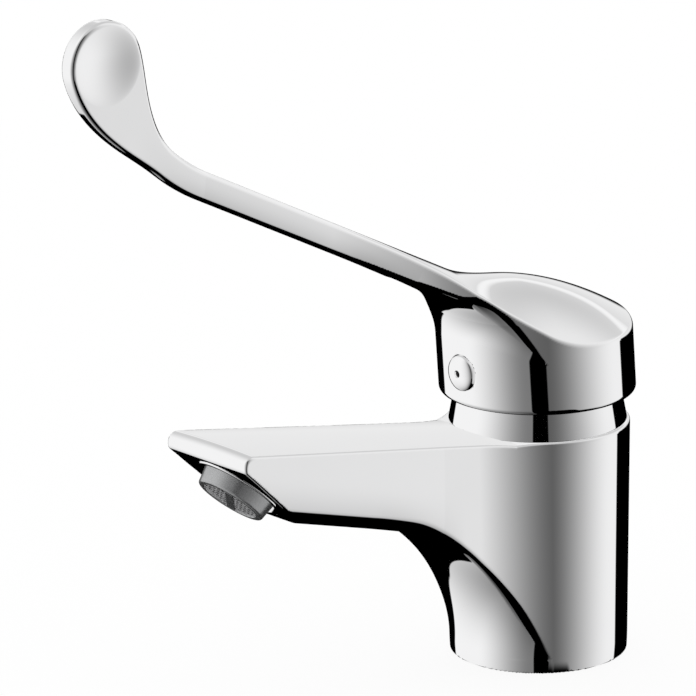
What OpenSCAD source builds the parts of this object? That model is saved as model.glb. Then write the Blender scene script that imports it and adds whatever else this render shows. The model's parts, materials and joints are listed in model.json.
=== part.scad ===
// Deck-mounted single-lever basin mixer with a long elbow lever.
// The origin is the centre of the base on the deck, +Z is up, the spout and the lever point to -Y.
// Sections of the cast forms are worked out in (x, p, z), where p is the distance forward, so y = -p.

/* [Body] */
// Radius of the body where it stands on the deck
base_r = 23.5; // [22.8:0.1:26]
// Radius of the body at its top rim
rim_r = 24.2; // [23.8:0.1:26]
// How far the foot of the body draws in at the deck
foot_in = 0.5; // [0.2:0.1:0.8]
// Height over which the foot draws in
foot_h = 4.5; // [3:0.5:6]
// Height of the flat top face of the body
body_h = 63.2; // [63:0.1:66]
// Radius of the fillet between the column and the underside of the spout
arch_r = 44; // [38:1:46]
// Radius of the fillets between the column and the spout's sides, seen from above
side_fillet_r = 36; // [28:1:40]

/* [Spout] */
// Distance from the axis to the end face of the spout
spout_reach = 112; // [104:1:124]
// Slope of the top of the spout, in degrees
spout_rise = 10.2; // [8:0.2:12]
// Distance in front of the axis where the sloping top leaves the flat top
spout_start = 19.5; // [17:0.5:22]
// Half the width of the spout at its root
spout_half_root = 14.2; // [13:0.1:16]
// Half the width of the spout at its tip
spout_half_tip = 15.6; // [14:0.1:17]
// Distance in front of the axis where the spout starts to widen
spout_taper_p = 45; // [30:1:60]
// Slope of the underside of the spout, in degrees
under_rise = 16; // [14:0.5:18]
// Height at which the line of the underside, drawn back, meets the axis
under_axis_z = 29.9; // [28:0.1:31]
// Radius of the rounded lower edges of the spout
spout_edge_r = 4.5; // [3:0.5:6]
// Height of the arch over which these edges grow to that radius
edge_grow_h = 22; // [18:1:28]
// Radius of the upright corners at the tip of the spout
tip_corner_r = 1; // [0.5:0.5:3]
// Height of the end of the spout, from the outlet face to the top
end_face_h = 4.5; // [3.5:0.1:6]
// Radius of the rounded upper edge of the end
nose_r = 3.6; // [1:0.1:3.7]
// Tilt of the outlet face from level, in degrees
outlet_tilt = 43; // [40:1:45]
// Radius of the waterway in the spout
waterway_r = 5; // [4:0.5:5.5]

/* [Base] */
// Radius of the recess under the base
recess_r = 17.5; // [16:0.5:18]
// Depth of the recess under the base
recess_depth = 5; // [3:0.5:7]
// Inner radius of the base seal
base_seal_in_r = 19; // [18.5:0.1:19.5]
// Outer radius of the base seal
base_seal_out_r = 22; // [21:0.1:22]
// Thickness of the base seal
base_seal_t = 2; // [1.5:0.1:3]
// Radius of the threaded inlets for M10 hoses
inlet_r = 4.5; // [4:0.1:5]
// Depth of the inlet threads above the recess
inlet_depth = 13; // [10:0.5:15]
// Sideways distance of each inlet from the axis
inlet_x = 8.5; // [8:0.1:9]
// Radius of the threaded hole for the M8 fixing stud
stud_r = 3.4; // [3:0.1:4]
// Depth of the stud thread above the recess
stud_depth = 15; // [10:0.5:18]
// Distance of the stud behind the axis
stud_back = 12; // [11.5:0.1:12.5]

/* [Cartridge] */
// Radius of the cartridge chamber in the body
chamber_r = 17.5; // [17:0.1:18]
// Depth of the cartridge chamber below the body's top face
chamber_depth = 33.2; // [32.6:0.1:34]
// Radius of the ring gallery that collects the mixed water
gallery_r = 19; // [18.5:0.1:19.5]
// Thickness of the flange of the cartridge base
plate_flange_t = 2; // [1.5:0.1:2.5]
// Overall thickness of the cartridge base
plate_t = 4; // [3.5:0.1:4.5]
// Inner radius of the cartridge housing
housing_in_r = 15; // [14.8:0.1:15.2]
// Radius of each water port
port_r = 3; // [2:0.1:3.2]
// Radius of the fixed ceramic disc
fixed_disc_r = 14; // [13:0.1:14.5]
// Thickness of the fixed ceramic disc
fixed_disc_t = 4; // [3:0.1:4.5]
// Radius of the moving ceramic disc
moving_disc_r = 12; // [11:0.1:12.4]
// Thickness of the moving ceramic disc
moving_disc_t = 3.5; // [3:0.1:4]
// Thickness of the disc carrier
carrier_t = 5; // [4.8:0.1:5.4]
// Half the width of the guide rib on the disc carrier
guide_half = 6; // [5:0.1:7]
// Radius of the ball at the foot of the spindle
ball_r = 3.2; // [2.8:0.1:3.4]
// Distance from the ball to the pivot pin
arm = 16.5; // [16:0.1:17]
// Thickness of the rotor flange
rotor_flange_t = 3.5; // [3:0.1:4]
// Radius of the rotor neck
rotor_neck_r = 11; // [10.6:0.1:11.4]
// Height of the rotor neck above the pivot pin
rotor_above_pin = 6; // [5:0.1:6.5]
// Radius of the pivot pin
pin_r = 2; // [1.5:0.1:2.4]
// Width of the square spindle
spindle_w = 8; // [7:0.1:8.4]
// Thickness of the housing shoulder under the nut
shoulder_t = 3.7; // [3.4:0.1:4]
// Wall of the housing neck
housing_neck_wall = 3; // [2.5:0.1:3.4]
// Thickness of the O-rings and port seals
seal_t = 1.8; // [1.4:0.1:2]

/* [Nut and neck ring] */
// Radius of the thread of the retaining nut
nut_r = 20; // [19.5:0.1:20.5]
// Height of the round collar of the nut above the body
nut_collar_h = 4.3; // [4:0.1:5]
// Height of the hexagon on top of the nut
nut_hex_h = 3; // [2:0.1:3.4]
// Radius of the neck ring at its foot
neck_foot_r = 23.4; // [23:0.1:23.8]
// Radius of the neck ring at its top
neck_top_r = 21.7; // [21.4:0.1:21.8]
// Gap round the neck ring in its seat on the body
neck_seat_gap = 0.3; // [0.1:0.1:0.5]
// Height of the neck ring
neck_h = 9; // [8:0.1:9.2]

/* [Handle cap] */
// Radius of the handle cap
cap_r = 25.8; // [25.6:0.1:27]
// Gap between the body and the handle cap
cap_gap = 7.8; // [7.8:0.1:9]
// Forward lean of the cap wall, sideways shift per unit of height
cap_lean = 0.07; // [0:0.01:0.1]
// Radius of the lower edge of the cap
cap_edge_r = 1.5; // [0.5:0.1:1.8]
// Height of the crown above the cap's lower edge, on the axis
crown_h = 30.5; // [29:0.1:33]
// Slope of the crown on the axis
crown_slope = 0.3; // [0.2:0.01:0.34]
// Curvature of the crown along the handle, per millimetre
crown_bow = 0.0058; // [0.004:0.0001:0.007]
// Curvature of the crown across the cap, per millimetre
cross_bow = 0.0172; // [0.015:0.0002:0.019]
// Curvature across the neck and the top of the lever, per millimetre
neck_bow = 0.0284; // [0.02:0.0002:0.032]
// Radius of the fillet between the cap and the lever
lever_fillet_r = 14; // [10:1:16]
// Radius of the fillets beside the lever, seen from above
lever_side_r = 100; // [80:5:120]
// Radius of the cavity in the cap
cavity_r = 22.9; // [22.8:0.1:23.2]
// Height of the cavity in the cap
cavity_h = 22.5; // [20:0.5:23]
// Radius of the boss that holds the spindle
boss_r = 8.5; // [7.5:0.1:9]
// Gap between the rotor and that boss
boss_gap = 5.5; // [5:0.1:6]
// Length of the spindle in the boss
spindle_grip = 14.5; // [12:0.1:15]
// Height of the screw cover above the cap's lower edge
plug_h = 9.4; // [9:0.1:10.5]
// Radius of the screw cover
plug_r = 4.8; // [4:0.1:5]
// Height of the dome of the screw cover
plug_dome = 2; // [1:0.1:2.4]
// Radius of the shank of the screw cover
plug_shank_r = 3.3; // [3:0.1:3.6]
// Depth of the seat of the screw cover in the cap wall
plug_sink = 0.6; // [0.4:0.1:1]
// Radius of the dark dot on the screw cover
dot_r = 1; // [0.6:0.1:1.4]
// Radius of the grub screw
grub_r = 2.5; // [2:0.1:2.7]
// Length of the grub screw
grub_l = 7; // [5:0.5:8]

/* [Lever] */
// Slope of the straight part of the lever, in degrees
lever_rise = 26.8; // [24:0.2:29]
// Height of the lever's centre line above the cap's lower edge, on the axis
lever_axis_h = 18.4; // [18:0.1:20]
// Thickness of the lever, seen from the side
lever_t = 7.3; // [6:0.1:8]
// Half the width of the lever where it leaves the cap
lever_half_root = 4.2; // [3.6:0.1:5]
// Half the width of the paddle
paddle_half = 2.4; // [2.2:0.1:3]
// Radius of the rounded edges of the lever
lever_edge_r = 1.2; // [0.8:0.1:1.6]
// Distance in front of the axis where the lever starts to bend up
bend_start = 112; // [104:1:124]
// Radius of the upward bend
bend_r = 58; // [50:1:64]
// Angle of the upward bend, in degrees
bend_turn = 46.8; // [42:0.2:52]
// Radius of the round end of the paddle
paddle_r = 10.9; // [9:0.1:12]
// Depth of the hollow in each side of the paddle
dish_depth = 0.8; // [0.4:0.1:1]
// Width of the rim round that hollow
dish_rim = 0.9; // [0.6:0.1:2]

/* [Aerator] */
// Radius of the aerator thread
aerator_r = 12; // [11.5:0.1:12.5]
// Depth of the aerator socket
socket_depth = 5.5; // [5:0.1:6]
// Wall of the aerator housing
aerator_wall = 1.3; // [1:0.1:1.6]
// Length of the aerator insert outside the outlet face
insert_out = 4; // [3:0.1:5]
// Radius of the insert at its foot
insert_foot_r = 9.2; // [8.8:0.1:9.6]
// Inner radius of the insert
insert_bore_r = 8; // [7.5:0.1:8.2]
// Thickness of the grille at the foot of the insert
grille_t = 0.8; // [0.6:0.1:1]
// Width of the bar across the grille
grille_bar = 2.4; // [1.5:0.1:3]
// Pitch of the holes in the screen
screen_pitch = 1.9; // [1.6:0.1:2.4]

/* [Fits] */
// Running clearance of shafts and pins, on the radius
run_fit = 0.05; // [0.03:0.01:0.1]
// Clearance between flat faces that slide
slide_gap = 0.05; // [0.03:0.01:0.1]
// Clearance above the disc carrier
carrier_gap = 0.6; // [0.5:0.1:0.8]
// Full lift of the lever, in degrees
lift_max = 16; // [10:1:16]

/* [Hidden] */
$fn = 64;

// How far cutting solids reach past the faces that they make, and how far lofts rise above their trimmed tops
over = 3;
spare = 9;
eps = 0.01;
// Points round each ring of a loft, and halvings used to find each point
ring_points = 40;
halvings = 30;

// Heights through the cartridge, from the chamber floor upward
chamber_floor = body_h - chamber_depth;
disc_z = chamber_floor + plate_t;
moving_z = disc_z + fixed_disc_t + slide_gap;
carrier_z = moving_z + moving_disc_t;
carrier_top = carrier_z + carrier_t;
ball_z = carrier_z + carrier_t - 1;
pivot_z = ball_z + arm;
rotor_z = carrier_top + carrier_gap;
shoulder_z = rotor_z + rotor_flange_t + slide_gap;
nut_z = shoulder_z + shoulder_t;
housing_top = pivot_z + rotor_above_pin - 2;
rotor_top = pivot_z + rotor_above_pin;
housing_neck_r = rotor_neck_r + run_fit + housing_neck_wall;
gallery_z = moving_z - 0.5;
gallery_top = shoulder_z - 0.3;
// Half the stroke of the moving disc, which is centred in the middle of its travel
half_stroke = arm * sin(lift_max) / 2;

// Lines of the spout in side view
tip_top_z = body_h + (spout_reach - spout_start) * tan(spout_rise);
tip_low_z = tip_top_z - end_face_h;
heel_p = (spout_reach * tan(outlet_tilt) - tip_low_z + under_axis_z) / (tan(outlet_tilt) - tan(under_rise));
heel_z = under_axis_z + heel_p * tan(under_rise);
outlet_p = (spout_reach + heel_p) / 2;
outlet_z = (tip_low_z + heel_z) / 2;
// The waterway leaves the middle of the gallery and ends above the aerator
waterway_z = (gallery_z + gallery_top) / 2;
waterway_end_p = outlet_p - (socket_depth + 1) * sin(outlet_tilt);
waterway_end_z = outlet_z + (socket_depth + 1) * cos(outlet_tilt);

// Heights and places on the handle
cap_z = body_h + cap_gap;
plug_z = cap_z + plug_h;
boss_z = rotor_top + boss_gap;
spindle_top = boss_z + spindle_grip;
plug_seat_p = cap_r + cap_lean * plug_h;
paddle_turn = lever_rise + bend_turn;

function hyp2(a, b) = sqrt(a * a + b * b);
function mix(a, b, t) = a + (b - a) * t;
function ease(t) = let (c = min(max(t, 0), 1)) c * c * (3 - 2 * c);
// Keeps what two forms share, with a rounded edge
function round_meet(a, b, r) = min(-r, max(a, b)) + hyp2(max(r + a, 0), max(r + b, 0));
// The larger of two heights, with a soft change from one to the other
function soft_max(a, b, k) = max(a, b) + pow(max(k - abs(a - b), 0), 2) / (4 * k);
function bezier(a, b, c, t) = (1 - t) * (1 - t) * a + 2 * t * (1 - t) * b + t * t * c;

// Distance along a ray, from a point inside a form, to its surface
function reach(form, o, u, t, lo, hi, n) =
    n == 0 ? (lo + hi) / 2
    : let (m = (lo + hi) / 2, q = o + m * cos(t) * u, inside = form(m * sin(t), q[0], q[1]) < 0)
        reach(form, o, u, t, inside ? m : lo, inside ? hi : m, n - 1);
// One ring of a loft: where a plane across the handle or spout meets the form.
// The plane holds the X axis and the direction at the given angle in the (p, z) plane.
function ring(form, o, angle, far) =
    let (u = [cos(angle), sin(angle)]) [
        for (i = [0 : ring_points - 1])
            let (t = 360 * i / ring_points, s = reach(form, o, u, t, 0, far, halvings))
                [s * sin(t), -(o + s * cos(t) * u)[0], (o + s * cos(t) * u)[1]]];
function fan_angle(pivot, o) = atan2(o[1] - pivot[1], o[0] - pivot[0]);

function middle(points) =
    let (ones = [for (q = points) 1])
        [for (axis = [0 : 2]) [for (q = points) q[axis]] * ones / len(points)];

// Solid through a list of rings that have the same number of points, closed by a fan at each end
module loft(rings) {
    count = len(rings[0]);
    last = len(rings) - 1;
    head = last * count;
    foot_mid = head + count;
    head_mid = foot_mid + 1;
    walls = [
        for (k = [0 : last - 1], i = [0 : count - 1])
            let (j = (i + 1) % count, a = k * count, b = a + count)
                each [[a + i, a + j, b + j], [a + i, b + j, b + i]]];
    ends = [
        for (i = [0 : count - 1])
            let (j = (i + 1) % count)
                each [[j, i, foot_mid], [head + i, head + j, head_mid]]];
    polyhedron(
        concat([for (r = rings) each r], [middle(rings[0]), middle(rings[last])]),
        concat(walls, ends),
        convexity = 6);
}

// Body and spout
function spout_top(p) = max(body_h, tip_top_z + (p - spout_reach) * tan(spout_rise));
function spout_under(p) = under_axis_z + p * tan(under_rise);
function spout_half(p) =
    let (part = (p - spout_taper_p) / (spout_reach - spout_taper_p))
        mix(spout_half_root, spout_half_tip, min(max(part, 0), 1.2));
function column_r(z) = mix(base_r, rim_r, z / body_h) - foot_in * pow(max(1 - z / foot_h, 0), 2);
function column(x, p, z) = hyp2(x, p) - column_r(z);
// Plan outline of a round form and a straight arm, joined by fillets of radius r on both sides
function armed_plan(x, p, round_r, half, r) =
    let (centre_x = half + r, centre_p = sqrt(pow(round_r + r, 2) - pow(centre_x, 2)))
        p > centre_p ? abs(x) - half
        : p > 0 && abs(x) * centre_p < centre_x * p ? r - hyp2(abs(x) - centre_x, p - centre_p)
        : hyp2(x, p) - round_r;
// Side view of a wall at q = 0 and an underside that rises from height z0 at the wall, joined by a fillet
function arched_side(q, z, z0, rise, r) =
    let (centre_z = z0 + r * tan(rise) - r / cos(rise))
        z < centre_z ? q
        : (q - r) * cos(rise) + (z - centre_z) * sin(rise) < 0 ? r - hyp2(q - r, z - centre_z)
        : (z0 + q * tan(rise) - z) * cos(rise);
// Height on the column where the arch starts, and there the edges of the spout start with no radius
arch_foot_z = spout_under(rim_r) + arch_r * (sin(under_rise) - 1) / cos(under_rise);
function bar_edge_r(z) = spout_edge_r * ease((z - arch_foot_z) / edge_grow_h);
function spout_bar(x, p, z) =
    let (radial = mix(hyp2(x, p), p, ease((p - rim_r) / arch_r)))
        round_meet(
            armed_plan(x, p, column_r(z), spout_half(p), side_fillet_r),
            arched_side(radial - column_r(z), z, spout_under(column_r(z)), under_rise, arch_r),
            bar_edge_r(z));
casting = function (x, p, z)
    max(min(column(x, p, z), spout_bar(x, p, z)),
        z - spout_top(p) - spare,
        p - spout_reach - over);

arch_p = rim_r + arch_r;
arch_z = spout_under(arch_p) - arch_r / cos(under_rise);
under_normal = 90 + under_rise;
// Centre line of the loft: up the column, round the arch, along the spout, then round to the outlet face.
// It runs about in the middle of the casting, and every section is shorter than body_far.
mid_d = 11;
heel_d = 14;
body_far = 110;
spout_mid = (arch_r + mid_d) * [cos(under_normal), sin(under_normal)] + [arch_p, arch_z];
heel_pivot = [heel_p + over * 0.45, heel_z - over * 1.1];
heel_mid = heel_pivot + heel_d * [cos(under_normal), sin(under_normal)];
outlet_mid = heel_pivot + heel_d * [cos(outlet_tilt), sin(outlet_tilt)];
column_turn = [2, 0.76 * body_h];

module casting_blank() {
    foot_rings = [for (z = [-1, arch_z * 0.35, arch_z * 0.7]) ring(casting, [0, z], 180, body_far)];
    arch_rings = [
        for (t = [0 : 1 / 14 : 1 + eps])
            let (o = bezier([0, arch_z], column_turn, spout_mid, t))
                ring(casting, o, fan_angle([arch_p, arch_z], o), body_far)];
    bar_rings = [
        for (t = [0.25 : 0.25 : 0.8])
            ring(casting, mix(spout_mid, heel_mid, t), under_normal, body_far)];
    tip_rings = [
        for (t = [0 : 1 / 7 : 1 + eps])
            let (o = mix(heel_mid, outlet_mid, t))
                ring(casting, o, fan_angle(heel_pivot, o), body_far)];
    loft(concat(foot_rings, arch_rings, bar_rings, tip_rings));
}

// Side view of the body: deck, outlet face, rounded end and the two top faces
module body_profile() {
    back = rim_r + over;
    nose_drop = tan(spout_rise) + 1 / cos(spout_rise);
    nose = min(nose_r, 0.98 * end_face_h / nose_drop);
    nose_mid = [spout_reach - nose, tip_top_z - nose * nose_drop];
    nose_steps = 10;
    rotate([90, 0, -90])
        linear_extrude(4 * rim_r, center = true)
            polygon([
                [-back, 0],
                [spout_reach - tip_low_z / tan(outlet_tilt), 0],
                [spout_reach, tip_low_z],
                for (i = [0 : nose_steps])
                    let (a = (90 + spout_rise) * i / nose_steps)
                        nose_mid + nose * [cos(a), sin(a)],
                [spout_start, body_h],
                [-back, body_h]]);
}

// Top view of the body: round column and a spout tip with rounded corners
module body_plan() {
    corner_x = spout_half_tip - tip_corner_r;
    linear_extrude(2 * tip_top_z, center = true)
        rotate(180) {
            circle(2 * rim_r);
            translate([-2 * rim_r, 0])
                square([4 * rim_r, 0.8 * spout_reach]);
            translate([-corner_x, 0])
                square([2 * corner_x, spout_reach]);
            translate([-spout_half_tip, 0])
                square([2 * spout_half_tip, spout_reach - tip_corner_r]);
            for (side = [-1, 1])
                translate([side * corner_x, spout_reach - tip_corner_r])
                    circle(tip_corner_r);
        }
}

// Moves children from the outlet's own frame, where +Z leads into the spout
module at_outlet() {
    translate([0, -outlet_p, outlet_z])
        rotate([-outlet_tilt, 0, 0])
            children();
}

module ring_cut(out_r, in_r, z, h) {
    translate([0, 0, z])
        difference() {
            cylinder(r = out_r, h = h);
            translate([0, 0, -over])
                cylinder(r = in_r, h = h + 2 * over);
        }
}

module o_ring(mid_r, tube_r, z) {
    translate([0, 0, z])
        rotate_extrude()
            translate([mid_r, 0])
                circle(tube_r);
}

module body() {
    way_rise = atan2(waterway_end_z - waterway_z, waterway_end_p);
    way_l = hyp2(waterway_end_z - waterway_z, waterway_end_p);
    color("gainsboro")
        difference() {
            intersection() {
                casting_blank();
                body_profile();
                body_plan();
            }
            translate([0, 0, -over])
                cylinder(r = recess_r, h = recess_depth + over);
            ring_cut(base_seal_out_r, base_seal_in_r, -over, base_seal_t + over);
            for (side = [-1, 1])
                translate([side * inlet_x, 0, 0]) {
                    translate([0, 0, recess_depth - eps])
                        cylinder(r = inlet_r, h = inlet_depth + eps);
                    translate([0, 0, recess_depth])
                        cylinder(r = port_r, h = chamber_floor);
                }
            translate([0, stud_back, recess_depth - eps])
                cylinder(r = stud_r, h = stud_depth + eps);
            translate([0, 0, chamber_floor])
                cylinder(r = chamber_r, h = body_h);
            translate([0, 0, gallery_z])
                cylinder(r = gallery_r, h = gallery_top - gallery_z);
            translate([0, 0, nut_z])
                cylinder(r = nut_r, h = body_h);
            translate([0, 0, body_h])
                cylinder(r = neck_foot_r + neck_seat_gap, h = body_h);
            translate([0, 0, waterway_z])
                rotate([90 - way_rise, 0, 0])
                    cylinder(r = waterway_r, h = way_l);
            at_outlet() {
                translate([0, 0, -over])
                    cylinder(r = aerator_r, h = socket_depth + over);
                cylinder(r = insert_bore_r, h = socket_depth + 1.5);
            }
        }
}

module base_seal() {
    color("dimgray")
        ring_cut(base_seal_out_r, base_seal_in_r, 0, base_seal_t);
}

// Cartridge, from its base upward
module each_port() {
    for (side = [-1, 1])
        translate([side * inlet_x, 0, 0])
            children();
}

port_seal_r = port_r + seal_t;

module cartridge_base() {
    color("white")
        difference() {
            union() {
                translate([0, 0, chamber_floor])
                    cylinder(r = chamber_r - run_fit, h = plate_flange_t);
                translate([0, 0, chamber_floor])
                    cylinder(r = housing_in_r, h = plate_t);
            }
            each_port() {
                translate([0, 0, chamber_floor - over])
                    cylinder(r = port_r, h = plate_t + 2 * over);
                translate([0, 0, chamber_floor - over])
                    cylinder(r = port_seal_r, h = seal_t + over);
            }
        }
}

module port_seals() {
    color("dimgray")
        each_port()
            ring_cut(port_seal_r, port_r, chamber_floor, seal_t);
}

module fixed_disc() {
    color("ivory")
        difference() {
            translate([0, 0, disc_z])
                cylinder(r = fixed_disc_r, h = fixed_disc_t);
            each_port()
                translate([0, 0, disc_z - over])
                    cylinder(r = port_r, h = fixed_disc_t + 2 * over);
        }
}

// The moving disc and its carrier stand back by half their stroke while the tap is shut
module at_shut() {
    translate([0, half_stroke, 0])
        children();
}

module moving_disc() {
    pocket_half_x = 0.55 * moving_disc_r;
    color("ivory")
        at_shut()
            difference() {
                translate([0, 0, moving_z])
                    cylinder(r = moving_disc_r, h = moving_disc_t);
                translate([-pocket_half_x, -moving_disc_r * 0.75, moving_z - over])
                    cube([2 * pocket_half_x, moving_disc_r * 0.5, over + moving_disc_t / 2]);
            }
}

guide_len = 2 * (moving_disc_r - 3);
guide_top = rotor_z + 1.8;

module disc_carrier() {
    color("lightgray")
        difference() {
            at_shut() {
                translate([0, 0, carrier_z])
                    cylinder(r = moving_disc_r, h = carrier_t);
                translate([-guide_half, -guide_len / 2, carrier_z])
                    cube([2 * guide_half, guide_len, guide_top - carrier_z]);
            }
            translate([0, 0, carrier_z - over])
                cylinder(r = ball_r + run_fit, h = carrier_t * 2 + over);
        }
}

module cartridge_housing() {
    window_half = 5;
    groove_w = seal_t + 0.2;
    color("whitesmoke")
        difference() {
            union() {
                translate([0, 0, chamber_floor + plate_flange_t])
                    cylinder(r = chamber_r - run_fit, h = nut_z - chamber_floor - plate_flange_t);
                translate([0, 0, shoulder_z])
                    cylinder(r = housing_neck_r, h = housing_top - shoulder_z);
            }
            translate([0, 0, chamber_floor])
                cylinder(r = housing_in_r, h = shoulder_z - chamber_floor);
            translate([0, 0, shoulder_z - over])
                cylinder(r = rotor_neck_r + run_fit, h = housing_top);
            for (turn = [-40, 40, 140, 220])
                rotate(turn)
                    translate([-window_half, -2 * chamber_r, moving_z + 0.5])
                        cube([2 * window_half, 2 * chamber_r, rotor_z - moving_z - 1]);
            ring_cut(chamber_r + over, chamber_r - seal_t, nut_z - 1 - groove_w, groove_w);
        }
}

module housing_o_ring() {
    color("dimgray")
        o_ring(chamber_r - seal_t / 2, seal_t / 2, nut_z - 1.1 - seal_t / 2);
}

module rotor() {
    slot_back = rotor_neck_r - 2.2;
    color("silver")
        difference() {
            union() {
                translate([0, 0, rotor_z])
                    cylinder(r = housing_in_r - run_fit, h = rotor_flange_t);
                translate([0, 0, rotor_z])
                    cylinder(r = rotor_neck_r, h = rotor_top - rotor_z);
            }
            translate([-spindle_w / 2 - run_fit, -slot_back, rotor_z - over])
                cube([spindle_w + 2 * run_fit, 2 * slot_back, rotor_top]);
            translate([-guide_half - run_fit, -2 * housing_in_r, rotor_z - over])
                cube([2 * (guide_half + run_fit), 4 * housing_in_r, guide_top - rotor_z + over + 0.2]);
            translate([0, 0, pivot_z])
                rotate([0, 90, 0])
                    cylinder(r = pin_r, h = 4 * rotor_neck_r, center = true);
        }
}

module pivot_pin() {
    color("silver")
        translate([0, 0, pivot_z])
            rotate([0, 90, 0])
                cylinder(r = pin_r, h = 2 * (rotor_neck_r - 1), center = true);
}

module spindle() {
    stem_r = 0.6 * ball_r;
    eye_z = pivot_z - 4.5;
    color("silver")
        difference() {
            union() {
                translate([0, 0, ball_z])
                    sphere(ball_r);
                translate([0, 0, ball_z])
                    cylinder(r = stem_r, h = eye_z - ball_z + 1);
                translate([-spindle_w / 2, -spindle_w / 2, eye_z])
                    cube([spindle_w, spindle_w, spindle_top - eye_z]);
            }
            translate([0, 0, pivot_z])
                rotate([0, 90, 0])
                    cylinder(r = pin_r + run_fit, h = 2 * spindle_w, center = true);
        }
}

// Nut and neck ring
nut_collar_r = nut_r - 0.1;
neck_in_r = nut_r + 0.5;
neck_o_ring_z = body_h + nut_collar_h - 1.8;

module retaining_nut() {
    collar_top = body_h + nut_collar_h;
    color("darkkhaki")
        difference() {
            union() {
                translate([0, 0, nut_z])
                    cylinder(r = nut_r, h = body_h - nut_z);
                translate([0, 0, nut_z])
                    cylinder(r = nut_collar_r, h = collar_top - nut_z);
                translate([0, 0, nut_z])
                    cylinder(r = nut_collar_r - 0.8, h = collar_top + nut_hex_h - nut_z, $fn = 6);
            }
            translate([0, 0, nut_z - over])
                cylinder(r = housing_neck_r + run_fit, h = body_h);
            ring_cut(nut_r + over, neck_in_r - seal_t, neck_o_ring_z - seal_t / 2 - 0.1, seal_t + 0.2);
        }
}

module neck_o_ring() {
    color("dimgray")
        o_ring(neck_in_r - seal_t / 2, seal_t / 2, neck_o_ring_z);
}

module neck_ring() {
    color("gainsboro")
        translate([0, 0, body_h])
            rotate_extrude()
                polygon([
                    [neck_in_r, 0],
                    [neck_foot_r, 0],
                    [neck_top_r, neck_h],
                    [neck_in_r, neck_h]]);
}

// Handle: cap, lever and paddle
function lever_mid_z(p) = cap_z + lever_axis_h + p * tan(lever_rise);
function lever_half(p) =
    let (part = (p - cap_r) / (bend_start - cap_r))
        mix(lever_half_root, paddle_half, min(max(part, 0), 1));
// Height of the line of the lever's underside
function lever_under(p) = lever_mid_z(p) - lever_t / 2 / cos(lever_rise);
// Height over which the crown runs softly into the top of the lever
crown_blend = 5;
function crown(p) =
    soft_max(
        cap_z + crown_h + crown_slope * p - crown_bow * p * p,
        lever_mid_z(p) + lever_t / 2 / cos(lever_rise),
        crown_blend);
// The curve across changes from the cap's to the neck's over the front of the cap
bow_from = -0.4 * cap_r;
function cap_top(x, p) =
    let (bow = mix(cross_bow, neck_bow, ease((p - bow_from) / (cap_r - bow_from))))
        crown(p) - bow * x * x;
function cap_wall_r(z) =
    let (drop = max(cap_edge_r - (z - cap_z), 0))
        cap_r - cap_edge_r + sqrt(max(pow(cap_edge_r, 2) - drop * drop, 0));
function lever_bar(x, p, z) =
    let (radial = mix(hyp2(x, p), p, ease((p - cap_r) / lever_fillet_r)), r = cap_wall_r(z))
        round_meet(
            armed_plan(x, p, r, lever_half(p), lever_side_r),
            arched_side(radial - r, z, lever_under(r), lever_rise, lever_fillet_r),
            lever_edge_r);
// The cap's wall leans forward up to this height, and the lean fades out along the neck of the lever
lean_h = 25;
neck_l = 20;
handle_walls = function (x, p, z)
    let (q = p - cap_lean * min(max(z - cap_z, 0), lean_h) * (1 - ease((p - cap_r) / neck_l)))
        max(min(hyp2(x, q) - cap_wall_r(z), lever_bar(x, q, z)), z - cap_top(x, p) - spare);
// Half the width of the lever with the fillets beside it
function neck_half(p) =
    let (
        centre_x = lever_half(p) + lever_side_r,
        centre_p = sqrt(pow(cap_r + lever_side_r, 2) - pow(centre_x, 2)))
        p > centre_p ? lever_half(p) : centre_x - sqrt(pow(lever_side_r, 2) - pow(p - centre_p, 2));

// Section of the lever square to its centre line, of half thickness h and half width w, with an arched top
function lever_ring(o, angle, h, w, bow) =
    let (
        edge_r = min(lever_edge_r, 0.9 * h),
        form = function (x, p, z)
            let (v = (p - o[0]) * cos(angle) + (z - o[1]) * sin(angle))
                round_meet(abs(x) - w, max(v - h + bow * x * x, -v - h), edge_r))
        ring(form, o, angle, 4 * paddle_r);
function line_point(p) = [p, lever_mid_z(p)];
// Point on the bend after the given part of the turn
function bend_point(f) =
    let (a = lever_rise, b = lever_rise + f * bend_turn)
        line_point(bend_start) + bend_r * [sin(b) - sin(a), cos(a) - cos(b)];
// Part of the bend after which the lever grows into the paddle
paddle_from = 0.29;
function lever_half_t(f) = mix(lever_t / 2, paddle_r, ease((f - paddle_from) / (1 - paddle_from)));

lever_normal = 90 + lever_rise;
// Distance in front of the axis where the crown ends and the plain lever starts
crown_end = cap_r + neck_l;
// Every section of the cap is shorter than cap_far, and its rings fan out from a point in front of the cap
cap_far = 70;
cap_fan_d = 18;
cap_fan_h = 13;
cap_turn = [6, 27];

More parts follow.
